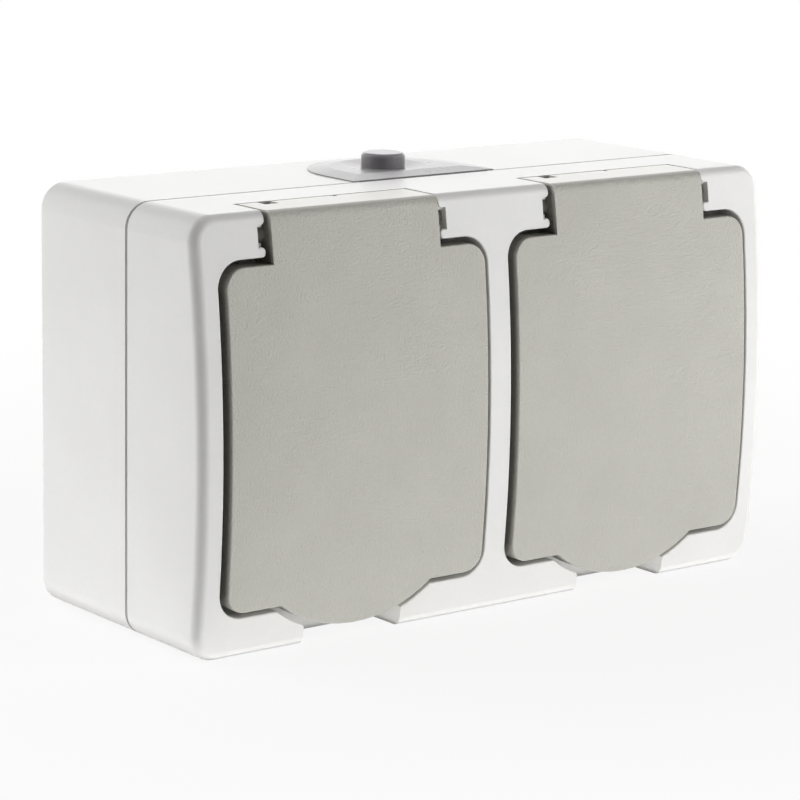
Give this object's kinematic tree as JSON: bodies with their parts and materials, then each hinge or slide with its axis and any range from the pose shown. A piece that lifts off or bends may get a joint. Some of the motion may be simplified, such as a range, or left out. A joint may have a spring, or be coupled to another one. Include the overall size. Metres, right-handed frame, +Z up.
{
  "type": "surface-mounted socket",
  "caption": "Weatherproof twin surface socket: white back box and bowed cover, grey sprung flap lids, soft cable gland on top.",
  "frame": {"origin": "middle of the flat back face, on the wall plane", "axes": "+X right along the width, +Y into the wall, +Z up; the lids face -Y"},
  "size_m": [0.14, 0.0564, 0.0862],
  "materials": {
    "white_shell": "smooth semi-gloss white moulding",
    "lid_plastic": "warm grey with a fine spark-eroded grain",
    "gland_rubber": "soft matt grey",
    "seal_rubber": "soft dark rubber",
    "insert_plastic": "smooth white moulding",
    "carrier_plastic": "dark heat-resistant moulding",
    "brass": "stamped brass",
    "zinc_steel": "zinc-plated steel",
    "spring_steel": "bright spring wire"
  },
  "bodies": {
    "housing": {"back_box": "white_shell", "front_cover": "white_shell", "cable_gland": "gland_rubber", "box_seal": "seal_rubber", "live_bar": "brass", "neutral_bar": "brass", "earth_bar": "brass", "terminal_clamps": "zinc_steel", "terminal_screws": "zinc_steel", "insert_screws": "zinc_steel", "carrier_screws": "zinc_steel", "cover_screws": "zinc_steel", "insert_left": "insert_plastic", "insert_seal_left": "seal_rubber", "carrier_left": "carrier_plastic", "insert_right": "insert_plastic", "insert_seal_right": "seal_rubber", "carrier_right": "carrier_plastic"},
    "lid_left": {"lid_left": "lid_plastic", "lid_seal_left": "seal_rubber", "lid_spring_left": "spring_steel"},
    "lid_right": {"lid_right": "lid_plastic", "lid_seal_right": "seal_rubber", "lid_spring_right": "spring_steel"}
  },
  "joints": [
    {"name": "lid_left_hinge", "type": "hinge", "parent": "housing", "child": "lid_left", "pos_m": [-0.03383, -0.04923, 0.037], "axis": [-1, 0, 0], "range_deg": [0, 100], "stiffness_Nm_per_rad": 0.012, "springref_deg": -68.75, "deforming": ["lid_spring_left"]},
    {"name": "lid_right_hinge", "type": "hinge", "parent": "housing", "child": "lid_right", "pos_m": [0.03383, -0.04923, 0.037], "axis": [-1, 0, 0], "range_deg": [0, 100], "stiffness_Nm_per_rad": 0.012, "springref_deg": -68.75, "deforming": ["lid_spring_right"]}
  ]
}
